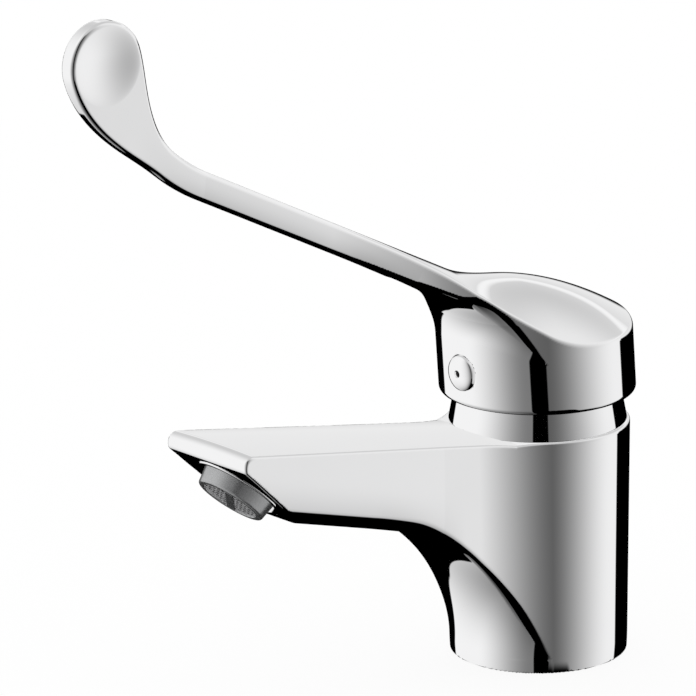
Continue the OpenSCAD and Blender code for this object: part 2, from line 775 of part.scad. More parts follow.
// Walls of the cap and the whole lever; over the cap the walls run up past the crown
module handle_sides() {
    edge_rings = [for (f = [0, 0.15, 0.45, 1]) ring(handle_walls, [0, cap_z + f * cap_edge_r], 180, cap_far)];
    pivot = [cap_r + cap_fan_d, cap_z + cap_fan_h];
    root_d = (lever_mid_z(pivot[0]) - pivot[1]) * cos(lever_rise);
    root = pivot + root_d * [cos(lever_normal), sin(lever_normal)];
    cap_rings = [
        for (t = [0 : 1 / 16 : 1 + eps])
            let (o = bezier([0, pivot[1]], cap_turn + [0, cap_z], root, t))
                ring(handle_walls, o, fan_angle(pivot, o), cap_far)];
    neck_rings = [
        for (p = [root[0] + 2, crown_end - 5])
            ring(handle_walls, line_point(p), lever_normal, cap_far)];
    straight_rings = [
        for (t = [0, 0.12, 0.25, 0.4, 0.7])
            let (p = mix(crown_end, bend_start, t))
                lever_ring(line_point(p), lever_normal, lever_t / 2, neck_half(p), neck_bow)];
    bend_rings = [
        for (f = [0 : 1 / 12 : 1 + eps])
            lever_ring(
                bend_point(f),
                lever_normal + f * bend_turn,
                lever_half_t(f),
                paddle_half,
                neck_bow * (1 - ease(2 * f)))];
    along = [cos(paddle_turn), sin(paddle_turn)];
    end_rings = [
        for (a = [12, 24, 36, 48, 60, 70, 78, 84])
            lever_ring(
                bend_point(1) + paddle_r * sin(a) * along,
                lever_normal + bend_turn,
                paddle_r * cos(a),
                paddle_half,
                0)];
    loft(concat(edge_rings, cap_rings, neck_rings, straight_rings, bend_rings, end_rings));
}

// Everything under the crown of the cap, and everything in front of it
module under_crown() {
    half = cap_r + over;
    step = half / 12;
    high = 4 * cap_z;
    front = bend_start + bend_r;
    lift = 0.08;
    lift_l = 6;
    crown_rings = [
        for (p = concat([for (q = [-half : step * 1.5 : crown_end - step]) q], crown_end))
            let (raised = lift * ease((p - crown_end) / lift_l + 1))
                concat(
                    [[half, -p, cap_z - over], [-half, -p, cap_z - over]],
                    [for (x = [-half : step : half + eps]) [x, -p, cap_top(x, p) + raised]])];
    front_rings = [
        for (p = [crown_end + eps, front])
            concat(
                [[half, -p, cap_z - over], [-half, -p, cap_z - over]],
                [for (x = [-half : step : half + eps]) [x, -p, high]])];
    loft(concat(crown_rings, front_rings));
}

// Round hollow in each side of the paddle
module paddle_dishes() {
    hollow_r = paddle_r - dish_rim;
    ball = (hollow_r * hollow_r / dish_depth + dish_depth) / 2;
    middle_at = bend_point(1);
    for (side = [-1, 1])
        translate([side * (paddle_half - dish_depth + ball), -middle_at[0], middle_at[1]])
            sphere(ball, $fn = 128);
}

module handle_blank() {
    difference() {
        intersection() {
            handle_sides();
            under_crown();
        }
        paddle_dishes();
    }
}

// Turned cavity of the cap, down to below its lower edge
module cap_cavity() {
    translate([0, 0, cap_z])
        rotate_extrude()
            polygon([
                [0, -over],
                [cavity_r, -over],
                [cavity_r, 0.3 * cavity_h],
                [0.9 * cavity_r, 0.62 * cavity_h],
                [0.57 * cavity_r, 0.89 * cavity_h],
                [0, cavity_h]]);
}

grub_seat_p = spindle_w / 2;
shank_l = 5;

// Moves children to the screw's axis, where +Z leads forward out of the cap
module at_screw(p) {
    translate([0, -p, plug_z])
        rotate([90, 0, 0])
            children();
}

module handle() {
    rib_half = plug_shank_r + 1.6;
    color("gainsboro")
        difference() {
            union() {
                difference() {
                    handle_blank();
                    cap_cavity();
                }
                translate([0, 0, boss_z])
                    cylinder(r = boss_r, h = cap_z + cavity_h + 1 - boss_z);
                translate([-rib_half, -cavity_r - 1, plug_z - rib_half])
                    cube([2 * rib_half, cavity_r + 1, 2 * rib_half]);
            }
            translate([-spindle_w / 2, -spindle_w / 2, boss_z - over])
                cube([spindle_w, spindle_w, spindle_top - boss_z + over]);
            at_screw(grub_seat_p - over)
                cylinder(r = grub_r, h = cap_r);
            at_screw(grub_seat_p + grub_l)
                cylinder(r = plug_shank_r, h = cap_r);
            at_screw(plug_seat_p - plug_sink)
                cylinder(r = plug_r, h = over);
        }
}

module grub_screw() {
    color("gray")
        difference() {
            at_screw(grub_seat_p)
                cylinder(r = grub_r, h = grub_l);
            at_screw(grub_seat_p + grub_l / 2)
                cylinder(r = 0.58 * grub_r, h = grub_l, $fn = 6);
        }
}

module screw_cover() {
    rim_h = 0.9;
    color("gainsboro")
        difference() {
            at_screw(plug_seat_p - plug_sink)
                rotate_extrude()
                    polygon([
                        [0, -shank_l],
                        [plug_shank_r, -shank_l],
                        [plug_shank_r, 0],
                        [plug_r, 0],
                        [plug_r, rim_h],
                        for (a = [75 : -15 : 0]) [plug_r * sin(a), rim_h + plug_dome * cos(a) / 1.4]]);
            at_screw(plug_seat_p)
                cylinder(r = dot_r, h = over);
        }
}

module cover_dot() {
    color("black")
        at_screw(plug_seat_p)
            cylinder(r = dot_r, h = plug_dome * 0.7);
}

// Aerator, in the outlet's own frame
insert_r = aerator_r - aerator_wall;
seal_in_r = insert_bore_r;
aerator_top = socket_depth - 1;

module aerator_housing() {
    color("silver")
        at_outlet()
            ring_cut(aerator_r, insert_r, -0.3, aerator_top + 0.3);
}

module aerator_insert() {
    color("dimgray")
        at_outlet()
            difference() {
                rotate_extrude()
                    polygon([
                        [0, -insert_out],
                        [insert_foot_r - 0.6, -insert_out],
                        [insert_foot_r, -insert_out + 0.6],
                        [insert_r - 0.5, aerator_top - 2.4],
                        [insert_r, aerator_top - 2],
                        [insert_r, aerator_top],
                        [0, aerator_top]]);
                translate([0, 0, -insert_out + grille_t])
                    cylinder(r = insert_bore_r, h = 2 * aerator_top + insert_out);
                difference() {
                    translate([0, 0, -insert_out - over])
                        cylinder(r = insert_bore_r - 0.4, h = 2 * over);
                    translate([-grille_bar / 2, -2 * aerator_r, -2 * aerator_r])
                        cube([grille_bar, 4 * aerator_r, 4 * aerator_r]);
                }
            }
}

screen_z = -insert_out + grille_t;
screen_t = 0.8;

module aerator_screen() {
    hole = screen_pitch - 0.6;
    rows = floor(insert_bore_r / screen_pitch);
    color("lightgray")
        at_outlet()
            difference() {
                translate([0, 0, screen_z])
                    cylinder(r = insert_bore_r, h = screen_t);
                for (i = [-rows : rows], j = [-rows : rows])
                    if (hyp2(i, j) * screen_pitch < insert_bore_r - screen_pitch)
                        translate([i * screen_pitch - hole / 2, j * screen_pitch - hole / 2, screen_z - over])
                            cube([hole, hole, screen_t + 2 * over]);
            }
}

module aerator_jet_plate() {
    jets = 10;
    color("whitesmoke")
        at_outlet()
            difference() {
                translate([0, 0, screen_z + screen_t])
                    cylinder(r = insert_bore_r, h = aerator_top - screen_z - screen_t - 1);
                for (i = [0 : jets - 1])
                    rotate(360 * i / jets)
                        translate([0.65 * insert_bore_r, 0, screen_z - over])
                            cylinder(r = 0.6, h = 4 * over);
                translate([0, 0, screen_z])
                    cylinder(r = 0.85 * insert_bore_r, h = screen_t + 1.5);
            }
}

module aerator_seal() {
    color("dimgray")
        at_outlet()
            ring_cut(aerator_r - 0.3, seal_in_r, aerator_top, socket_depth - aerator_top);
}

body();
base_seal();
cartridge_base();
port_seals();
fixed_disc();
moving_disc();
disc_carrier();
cartridge_housing();
housing_o_ring();
rotor();
pivot_pin();
spindle();
retaining_nut();
neck_ring();
neck_o_ring();
handle();
grub_screw();
screw_cover();
cover_dot();
aerator_housing();
aerator_insert();
aerator_jet_plate();
aerator_screen();
aerator_seal();
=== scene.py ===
import json
import math

import bpy
import numpy as np
from mathutils import Matrix

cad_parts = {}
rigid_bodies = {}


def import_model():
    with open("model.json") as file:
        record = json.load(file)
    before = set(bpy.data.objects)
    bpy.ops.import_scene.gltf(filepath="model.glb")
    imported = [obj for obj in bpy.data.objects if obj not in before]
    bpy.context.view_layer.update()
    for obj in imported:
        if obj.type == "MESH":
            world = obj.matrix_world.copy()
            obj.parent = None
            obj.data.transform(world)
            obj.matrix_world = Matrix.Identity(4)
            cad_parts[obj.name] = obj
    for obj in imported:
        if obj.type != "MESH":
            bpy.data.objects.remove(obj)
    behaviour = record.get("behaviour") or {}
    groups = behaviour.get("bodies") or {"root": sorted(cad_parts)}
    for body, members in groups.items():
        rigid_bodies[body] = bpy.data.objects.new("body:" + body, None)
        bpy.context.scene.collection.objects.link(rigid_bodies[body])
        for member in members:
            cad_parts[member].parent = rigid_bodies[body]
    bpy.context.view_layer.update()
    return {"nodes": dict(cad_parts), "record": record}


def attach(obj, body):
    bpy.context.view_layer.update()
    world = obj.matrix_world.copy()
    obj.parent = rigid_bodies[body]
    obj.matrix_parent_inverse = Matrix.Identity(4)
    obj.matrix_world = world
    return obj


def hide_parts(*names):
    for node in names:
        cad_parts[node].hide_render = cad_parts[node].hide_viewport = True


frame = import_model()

MM = 0.001
SCENE = bpy.context.scene
SCENE.view_settings.view_transform = "Standard"

# Sizes in millimetres, as in the part's source but for softer edges, the curve of the spout's and lever's sides,
# and the paddle's scoop. Forms are worked out in (x, p, z), where p is the distance forward, so y = -p.
base_r, rim_r, body_h, foot_in, foot_h = 23.5, 24.2, 63.2, 0.12, 4.5
arch_r, side_fillet_r, arch_flat, arch_edge_r, arch_edge_slope = 44.0, 36.0, 2.2, 1.5, 0.8
spout_reach, spout_rise, spout_start = 112.0, 10.2, 19.5
spout_half_root, spout_half_tip, spout_taper_p = 14.2, 15.6, 45.0
under_rise, under_axis_z = 16.0, 29.9
curve_h, curve_r, curve_from, curve_run, spout_bow = 14.0, 36.0, 38.0, 30.0, 0.0014
spout_edge_r, spout_edge_from, spout_edge_run = 4.5, 10.0, 24.0
nose_r, tip_corner_r, end_face_h, outlet_tilt = 3.6, 1.0, 4.5, 43.0
top_edge_r, outlet_edge_r, foot_edge_r, bore_edge_r, recess_edge_r, hole_edge_r = 0.8, 0.6, 0.3, 0.3, 0.4, 0.2
cap_r, cap_gap, cap_lean, cap_edge_r = 25.8, 7.8, 0.07, 1.5
crown_h, crown_slope, crown_bow, cross_bow, neck_bow = 30.5, 0.3, 0.0058, 0.0172, 0.0284
crown_blend, crown_edge_r, lean_h, neck_l = 5.0, 0.6, 25.0, 20.0
lever_fillet_r, lever_side_r, neck_spread, spread_max = 14.0, 100.0, 0.018, 480.0
neck_edge_r, neck_edge_from, neck_edge_run = 9.0, 17.0, 19.0
lever_rise, lever_axis_h, lever_t = 26.8, 18.4, 7.3
lever_half_root, paddle_half, lever_edge_r = 4.2, 2.4, 1.2
bend_start, bend_r, bend_turn, paddle_r, paddle_from = 112.0, 58.0, 46.8, 10.9, 0.29
dish_depth, dish_rim = 1.4, 0.9
lever_lean, lean_from, lean_run, lean_top, lean_fade = 0.0255, 44.0, 22.0, 3.0, 1.6
recess_r, recess_depth = 17.5, 5.0
seal_in_r, seal_out_r, seal_t = 19.0, 22.0, 2.0
inlet_r, inlet_depth, inlet_x = 4.5, 13.0, 8.5
stud_r, stud_depth, stud_back = 3.4, 15.0, 12.0
chamber_r, chamber_depth = 17.5, 33.2
nut_r, nut_z = 20.0, 54.6
neck_in_r, neck_foot_r, neck_top_r, neck_h, neck_seat_r = 20.5, 23.4, 21.7, 9.0, 23.7
aerator_r, socket_depth, socket_in_r, socket_step = 12.0, 5.5, 8.0, 1.5
insert_r, insert_bore_r, insert_out, insert_foot_r, insert_lip = 10.7, 8.0, 4.0, 9.2, 0.4
grille_t, grille_bar, grille_turn, grille_gap = 0.8, 2.4, 40.0, 0.35
wire_pitch, wire_w, wire_t, wire_sink = 1.6, 0.48, 0.08, 0.12
cavity_r, cavity_h, cavity_flat, cavity_fall, cavity_slope = 22.9, 22.5, 0.57, 0.82, 0.19
plug_h, plug_r, plug_dome, plug_sink, plug_rim_h = 9.4, 4.8, 2.0, 0.6, 0.9
plug_shank_r, plug_shank_l, plug_wall, screw_from, dot_r = 3.3, 5.0, 1.6, 11.0, 1.0
boss_r, boss_z, spindle_w, spindle_grip = 8.5, 73.55, 8.0, 14.5


def sin(a):
    return math.sin(math.radians(a))


def cos(a):
    return math.cos(math.radians(a))


def tan(a):
    return math.tan(math.radians(a))


def mix(a, b, t):
    return a + (b - a) * t


def ease(t):
    c = np.clip(t, 0, 1)
    return c * c * (3 - 2 * c)


def round_meet(a, b, r):
    """What two forms share, with a rounded edge."""
    return np.minimum(-r, np.maximum(a, b)) + np.hypot(np.maximum(r + a, 0), np.maximum(r + b, 0))


def bored(form, cut, r):
    """A form less a cut, with a rounded edge."""
    return round_meet(form, -cut, r)


def soft_max(a, b, k):
    return np.maximum(a, b) + np.maximum(k - abs(a - b), 0) ** 2 / (4 * k)


def armed_plan(x, p, round_r, half, r):
    """Plan outline of a round form and a straight arm, joined by fillets."""
    cx = half + r
    cp = np.sqrt((round_r + r) ** 2 - cx ** 2)
    ax = abs(x)
    fillet = np.where((p > 0) & (ax * cp < cx * p), r - np.hypot(ax - cx, p - cp), np.hypot(x, p) - round_r)
    return np.where(p > cp, ax - half, fillet)


def arched_side(q, z, z0, rise, r):
    """Side view of a wall and an underside that rises from it, joined by a fillet."""
    cz = z0 + r * tan(rise) - r / cos(rise)
    arc = (q - r) * cos(rise) + (z - cz) * sin(rise) < 0
    under = np.where(arc, r - np.hypot(q - r, z - cz), (z0 + q * tan(rise) - z) * cos(rise))
    return np.where(z < cz, q, under)


def arm_reach(axis_d, p, wall_r, flat):
    """Distance from a round wall, by arcs that are flatter further out."""
    lead = wall_r * flat - p * (flat - 1)
    room = np.maximum(lead ** 2 + (2 * flat - 1) * (axis_d ** 2 - wall_r ** 2), 0)
    return (np.sqrt(room) - lead) / (2 * flat - 1)


def edge_from(out, r, slope):
    """Edge radius that grows from nothing at the wall to r."""
    return r * (1 - np.exp(-slope * out / r))


tip_top_z = body_h + (spout_reach - spout_start) * tan(spout_rise)
tip_low_z = tip_top_z - end_face_h
heel_p = (spout_reach * tan(outlet_tilt) - tip_low_z + under_axis_z) / (tan(outlet_tilt) - tan(under_rise))
heel_z = under_axis_z + heel_p * tan(under_rise)
outlet_p = (spout_reach + heel_p) / 2
outlet_z = (tip_low_z + heel_z) / 2
cap_z = body_h + cap_gap
plug_seat_p = cap_r + cap_lean * plug_h - plug_sink


def spout_half(p):
    part = (p - spout_taper_p) / (spout_reach - spout_taper_p)
    return mix(spout_half_root, spout_half_tip, np.clip(part, 0, 1.2))


def side_curve(p, z):
    """How far the spout's sides draw in towards its underside."""
    low = curve_h - (z - under_axis_z - p * tan(under_rise))
    return ease((p - curve_from) / curve_run) * np.clip(low, 0, curve_h) ** 2 / (2 * curve_r)


def body_field(x, p, z):
    wall_r = mix(base_r, rim_r, z / body_h) - foot_in * np.maximum(1 - z / foot_h, 0) ** 2
    axis_d = np.hypot(x, p)
    out = np.maximum(axis_d - wall_r, 0)
    edge = edge_from(out, arch_edge_r, arch_edge_slope)
    edge = edge * mix(1, spout_edge_r / arch_edge_r, ease((out - spout_edge_from) / spout_edge_run))
    half = spout_half(p) - side_curve(p, z)
    bar = round_meet(
        armed_plan(x, p, wall_r, half, side_fillet_r),
        arched_side(arm_reach(axis_d, p, wall_r, arch_flat), z,
                    under_axis_z + wall_r * tan(under_rise), under_rise, arch_r),
        edge)
    f = np.minimum(axis_d - wall_r, bar)
    tip = round_meet(abs(x) - half, p - spout_reach, tip_corner_r)
    f = np.maximum(f, np.where(p > 0.6 * spout_reach, tip, p - spout_reach))
    slope = (z - tip_top_z - (p - spout_reach) * tan(spout_rise) + spout_bow * x * x) * cos(spout_rise)
    top = np.where(p > 0.8 * spout_reach, round_meet(slope, p - spout_reach, nose_r), np.minimum(z - body_h, slope))
    f = round_meet(f, top, top_edge_r)
    outlet_face = (p - spout_reach) * sin(outlet_tilt) - (z - tip_low_z) * cos(outlet_tilt)
    f = round_meet(f, outlet_face, outlet_edge_r)
    f = round_meet(f, -z, foot_edge_r)
    inward = (z - outlet_z) * cos(outlet_tilt) - (p - outlet_p) * sin(outlet_tilt)
    across = np.hypot(x, (p - outlet_p) * cos(outlet_tilt) + (z - outlet_z) * sin(outlet_tilt))
    f = bored(f, np.maximum(across - aerator_r, inward - socket_depth), bore_edge_r)
    f = bored(f, np.maximum(across - socket_in_r, inward - socket_depth - socket_step), bore_edge_r)
    f = bored(f, np.maximum(axis_d - chamber_r, body_h - chamber_depth - z), bore_edge_r)
    f = bored(f, np.maximum(axis_d - nut_r, nut_z - z), bore_edge_r)
    f = np.maximum(f, -np.maximum(axis_d - neck_seat_r, body_h - z))
    f = bored(f, np.maximum(axis_d - recess_r, z - recess_depth), recess_edge_r)
    f = bored(f, np.maximum(np.maximum(axis_d - seal_out_r, seal_in_r - axis_d), z - seal_t), hole_edge_r)
    for side in (-1, 1):
        inlet_d = np.hypot(x - side * inlet_x, p)
        f = bored(f, np.maximum(inlet_d - inlet_r, z - recess_depth - inlet_depth), bore_edge_r)
    stud_d = np.hypot(x, p + stud_back)
    return bored(f, np.maximum(stud_d - stud_r, z - recess_depth - stud_depth), bore_edge_r)


def lever_mid_z(p):
    return cap_z + lever_axis_h + p * tan(lever_rise)


def lever_half(p):
    return mix(lever_half_root, paddle_half, np.clip((p - cap_r) / (bend_start - cap_r), 0, 1))


def neck_half(p):
    """Half the width of the lever with the fillets beside it."""
    cx = lever_half(p) + lever_side_r
    cp = np.sqrt((cap_r + lever_side_r) ** 2 - cx ** 2)
    return cx - np.sqrt(lever_side_r ** 2 - np.clip(cp - p, 0, 0.9 * lever_side_r) ** 2)


def cap_top(x, p):
    crown = soft_max(
        cap_z + crown_h + crown_slope * p - crown_bow * p * p,
        lever_mid_z(p) + lever_t / 2 / cos(lever_rise),
        crown_blend)
    bow_from = -0.4 * cap_r
    return crown - mix(cross_bow, neck_bow, ease((p - bow_from) / (cap_r - bow_from))) * x * x


def cap_form(x, p, z):
    q = p - cap_lean * np.clip(z - cap_z, 0, lean_h) * (1 - ease((p - cap_r) / neck_l))
    drop = np.maximum(cap_edge_r - (z - cap_z), 0)
    r = cap_r - cap_edge_r + np.sqrt(np.maximum(cap_edge_r ** 2 - drop ** 2, 0))
    under_z = lever_mid_z(r) - lever_t / 2 / cos(lever_rise)
    out = np.maximum(np.hypot(x, q) - r, 0)
    fillet_r = lever_fillet_r + neck_spread * np.minimum(x * x, spread_max)
    edge_r = mix(neck_edge_r, lever_edge_r, ease((q - neck_edge_from) / neck_edge_run))
    bar = round_meet(
        armed_plan(x, q, r, lever_half(q), lever_side_r),
        arched_side(np.hypot(x, q) - r, z, under_z, lever_rise, fillet_r),
        edge_from(out, edge_r, 1))
    walls = np.maximum(np.minimum(np.hypot(x, q) - r, bar), cap_z - z)
    crease_r = mix(crown_edge_r, lever_edge_r, ease((p - cap_r) / neck_l))
    return round_meet(walls, (z - cap_top(x, p)) * cos(lever_rise), crease_r)


bend_from = np.array([bend_start, lever_mid_z(bend_start)])
bend_mid = bend_from + bend_r * np.array([-sin(lever_rise), cos(lever_rise)])
paddle_turn = lever_rise + bend_turn
paddle_mid = bend_from + bend_r * np.array([
    sin(paddle_turn) - sin(lever_rise), cos(lever_rise) - cos(paddle_turn)])


def lever_form(x, p, z):
    dp, dz = p - bend_mid[0], z - bend_mid[1]
    turn = np.degrees(np.arctan2(dp * cos(lever_rise) + dz * sin(lever_rise),
                                 dp * sin(lever_rise) - dz * cos(lever_rise)))
    part = turn / bend_turn
    v_bend = bend_r - np.hypot(dp, dz)
    lp, lz = p - bend_from[0], z - bend_from[1]
    s_line = lp * cos(lever_rise) + lz * sin(lever_rise)
    v_line = lz * cos(lever_rise) - lp * sin(lever_rise)
    ep, ez = p - paddle_mid[0], z - paddle_mid[1]
    s_end = ep * cos(paddle_turn) + ez * sin(paddle_turn)
    half_t = mix(lever_t / 2, paddle_r, ease((part - paddle_from) / (1 - paddle_from)))
    bow = neck_bow * cos(lever_rise) * x * x
    line = np.maximum(v_line - lever_t / 2 + bow, -v_line - lever_t / 2)
    bend = np.maximum(v_bend - half_t + bow * (1 - ease(2 * part)), -v_bend - half_t)
    side = np.where(s_line < 0, line, np.where(s_end > 0, np.hypot(ep, ez) - paddle_r, bend))
    v = np.where(s_line < 0, v_line, v_bend)
    lean = lever_lean * ease((p - lean_from) / lean_run) * (1 - ease(lean_fade * part))
    lean = lean * np.minimum(v - lean_top, 0) ** 2
    scoop = dish_depth * np.maximum(1 - (ep ** 2 + ez ** 2) / (paddle_r - dish_rim) ** 2, 0) ** 1.5
    return round_meet(abs(x) - neck_half(p) + lean + scoop, side, lever_edge_r)


def handle_field(x, p, z):
    s = p * cos(lever_rise) + (z - lever_mid_z(0)) * sin(lever_rise)
    f = np.where(s < (cap_r + neck_l) / cos(lever_rise), cap_form(x, p, z), lever_form(x, p, z))
    axis_d = np.hypot(x, p)
    h = z - cap_z
    roof = cavity_h - np.maximum(axis_d - cavity_flat * cavity_r, 0) * cavity_fall - axis_d * cavity_slope
    cavity = np.maximum(axis_d - cavity_r, h - roof)
    cavity = np.maximum(cavity, -np.maximum(axis_d - boss_r, boss_z - z))
    rib = np.maximum(np.maximum(abs(x), abs(h - plug_h)) - plug_shank_r - plug_wall, -p)
    f = bored(f, np.maximum(cavity, -rib), bore_edge_r)
    screw_d = np.hypot(x, h - plug_h)
    f = bored(f, np.maximum(screw_d - plug_shank_r, screw_from - p), hole_edge_r)
    f = bored(f, np.maximum(screw_d - plug_r, plug_seat_p - p), hole_edge_r)
    square = np.maximum(abs(x), abs(p)) - spindle_w / 2
    return bored(f, np.maximum(square, z - boss_z - spindle_grip), hole_edge_r)


ROUNDS = 6


def slope_of(field, at, h=0.01):
    x, p, z = at.T
    return np.stack([
        field(x + h, p, z) - field(x - h, p, z),
        field(x, p + h, z) - field(x, p - h, z),
        field(x, p, z + h) - field(x, p, z - h)], 1) / (2 * h)


def settle(field, at, step, times):
    """Moves points onto the surface where the field is zero."""
    for _ in range(times):
        g = slope_of(field, at)
        move = -(field(*at.T) / np.maximum((g * g).sum(1), 1e-4))[:, None] * g
        length = np.linalg.norm(move, axis=1, keepdims=True)
        at = at + move * np.minimum(1, 0.5 * step / np.maximum(length, 1e-9))
    return at


def relax(field, at, quads, step, times):
    """Evens out the mesh along the surface, so that reflections run smoothly over it."""
    a = np.concatenate([quads[:, k] for k in range(4)] * 2)
    b = np.concatenate([quads[:, (k + 1) % 4] for k in range(4)] + [quads[:, (k + 3) % 4] for k in range(4)])
    count = np.maximum(np.bincount(a, minlength=len(at)), 1)
    for _ in range(times):
        mean = np.stack([np.bincount(a, at[b, k], minlength=len(at)) for k in range(3)], 1) / count[:, None]
        g = slope_of(field, at)
        g /= np.maximum(np.linalg.norm(g, axis=1, keepdims=True), 1e-9)
        move = mean - at
        move -= (move * g).sum(1, keepdims=True) * g
        at = settle(field, at + 0.6 * move, step, 1)
    return at


def skin(name, field, low, high, step):
    """Mesh of the surface where a field is zero: one point per crossed cell, moved onto the surface."""
    axes = [np.arange(a, b + step, step) for a, b in zip(low, high)]
    size = [len(a) for a in axes]
    inside = np.empty(size, bool)
    gx, gz = np.meshgrid(axes[0], axes[2], indexing="ij")
    for j, p in enumerate(axes[1]):
        inside[:, j, :] = field(gx, np.full_like(gx, p), gz) < 0
    count = np.zeros([n - 1 for n in size], np.int8)
    for a in (0, 1):
        for b in (0, 1):
            for c in (0, 1):
                count += inside[a:size[0] - 1 + a, b:size[1] - 1 + b, c:size[2] - 1 + c]
    cells = np.argwhere((count > 0) & (count < 8))
    number = np.full(count.shape, -1, np.int32)
    number[tuple(cells.T)] = np.arange(len(cells))
    at = np.stack([axes[k][0] + (cells[:, k] + 0.5) * step for k in range(3)], 1)
    at = settle(field, at, step, ROUNDS)
    quads = []
    for k in range(3):
        o = [i for i in range(3) if i != k]
        a, b = [slice(None)] * 3, [slice(None)] * 3
        a[k], b[k] = slice(0, -1), slice(1, None)
        near = inside[tuple(a)]
        edge = np.argwhere(near != inside[tuple(b)])
        for m in o:
            edge = edge[(edge[:, m] > 0) & (edge[:, m] < size[m] - 1)]
        ring = []
        for d0, d1 in ((1, 1), (0, 1), (0, 0), (1, 0)):
            c = edge.copy()
            c[:, o[0]] -= d0
            c[:, o[1]] -= d1
            ring.append(number[tuple(c.T)])
        ring = np.stack(ring, 1)
        out = near[tuple(edge.T)] != (k == 1)
        ring[out] = ring[out][:, ::-1]
        quads.append(ring)
    quads = np.concatenate(quads)
    at = relax(field, at, quads, step, ROUNDS)
    normal = slope_of(field, at)
    normal /= np.maximum(np.linalg.norm(normal, axis=1, keepdims=True), 1e-9)
    flip = np.array([1, -1, 1])
    mesh = bpy.data.meshes.new(name)
    mesh.from_pydata((at * flip * MM).tolist(), [], quads.tolist())
    mesh.polygons.foreach_set("use_smooth", np.ones(len(quads), bool))
    mesh.update()
    mesh.normals_split_custom_set_from_vertices((normal * flip).tolist())
    obj = bpy.data.objects.new(name, mesh)
    SCENE.collection.objects.link(obj)
    return obj


def solid(name, points, faces, place=Matrix.Identity(4), sharp=35):
    mesh = bpy.data.meshes.new(name)
    mesh.from_pydata([[c * MM for c in v] for v in points], [], faces)
    mesh.polygons.foreach_set("use_smooth", np.ones(len(faces), bool))
    mesh.set_sharp_from_angle(angle=math.radians(sharp))
    mesh.transform(place)
    obj = bpy.data.objects.new(name, mesh)
    SCENE.collection.objects.link(obj)
    return obj


def lathe(name, profile, place=Matrix.Identity(4), turns=128, sharp=35):
    """Turned piece from a closed outline of (radius, height) points."""
    n = len(profile)
    points = [
        (r * math.cos(2 * math.pi * i / turns), r * math.sin(2 * math.pi * i / turns), h)
        for i in range(turns) for r, h in profile]
    faces = []
    for i in range(turns):
        a, b = i * n, (i + 1) % turns * n
        faces += [(a + k, b + k, b + (k + 1) % n, a + (k + 1) % n) for k in range(n)]
    return solid(name, points, faces, place, sharp)


def rounded(outline, radii, steps=5):
    """Closed outline with its corners rounded by short arcs."""
    done = []
    n = len(outline)
    for i, (corner, r) in enumerate(zip(outline, radii)):
        c = np.array(corner, float)
        if not r:
            done.append(tuple(c))
            continue
        a = np.array(outline[i - 1], float) - c
        b = np.array(outline[(i + 1) % n], float) - c
        a *= r / np.linalg.norm(a)
        b *= r / np.linalg.norm(b)
        for k in range(steps + 1):
            t = k / steps
            done.append(tuple(c + (1 - t) ** 2 * a + t ** 2 * b))
    return done


def bars(name, boxes, place, bevel):
    """Straight bars with eased edges, each from its low and high corner."""
    points, faces = [], []
    for low, high in boxes:
        base = len(points)
        levels = ((low[2], bevel), (low[2] + bevel, 0), (high[2] - bevel, 0), (high[2], bevel))
        for z, inset in levels:
            points += [
                (low[0] + inset, low[1] + inset, z), (high[0] - inset, low[1] + inset, z),
                (high[0] - inset, high[1] - inset, z), (low[0] + inset, high[1] - inset, z)]
        faces.append(tuple(base + k for k in (3, 2, 1, 0)))
        faces.append(tuple(base + 12 + k for k in range(4)))
        for ring in range(3):
            a = base + 4 * ring
            faces += [(a + k, a + (k + 1) % 4, a + 4 + (k + 1) % 4, a + 4 + k) for k in range(4)]
    return solid(name, points, faces, place)


def material(name, color, rough, metal=0.0, bump=0.0, scale=900.0, spread=0.02, shine=0.5):
    """Plain material with a fine grain in its tone and roughness."""
    m = bpy.data.materials.new(name)
    m.use_nodes = True
    tree = m.node_tree
    shader = tree.nodes["Principled BSDF"]
    shader.inputs["Metallic"].default_value = metal
    shader.inputs["Specular IOR Level"].default_value = shine
    coords = tree.nodes.new("ShaderNodeTexCoord")
    noise = tree.nodes.new("ShaderNodeTexNoise")
    noise.inputs["Scale"].default_value = scale
    noise.inputs["Detail"].default_value = 4
    tree.links.new(coords.outputs["Object"], noise.inputs["Vector"])
    tone = tree.nodes.new("ShaderNodeMapRange")
    tone.inputs["To Min"].default_value = rough * 0.7
    tone.inputs["To Max"].default_value = rough * 1.3
    tree.links.new(noise.outputs["Fac"], tone.inputs["Value"])
    tree.links.new(tone.outputs["Result"], shader.inputs["Roughness"])
    tint = tree.nodes.new("ShaderNodeMix")
    tint.data_type = "RGBA"
    tint.inputs["A"].default_value = [c * (1 - spread) for c in color] + [1]
    tint.inputs["B"].default_value = [min(c * (1 + spread), 1) for c in color] + [1]
    tree.links.new(noise.outputs["Fac"], tint.inputs["Factor"])
    tree.links.new(tint.outputs["Result"], shader.inputs["Base Color"])
    if bump:
        grain = tree.nodes.new("ShaderNodeBump")
        grain.inputs["Strength"].default_value = bump
        grain.inputs["Distance"].default_value = 0.0001
        tree.links.new(noise.outputs["Fac"], grain.inputs["Height"])
        tree.links.new(grain.outputs["Normal"], shader.inputs["Normal"])
    return m


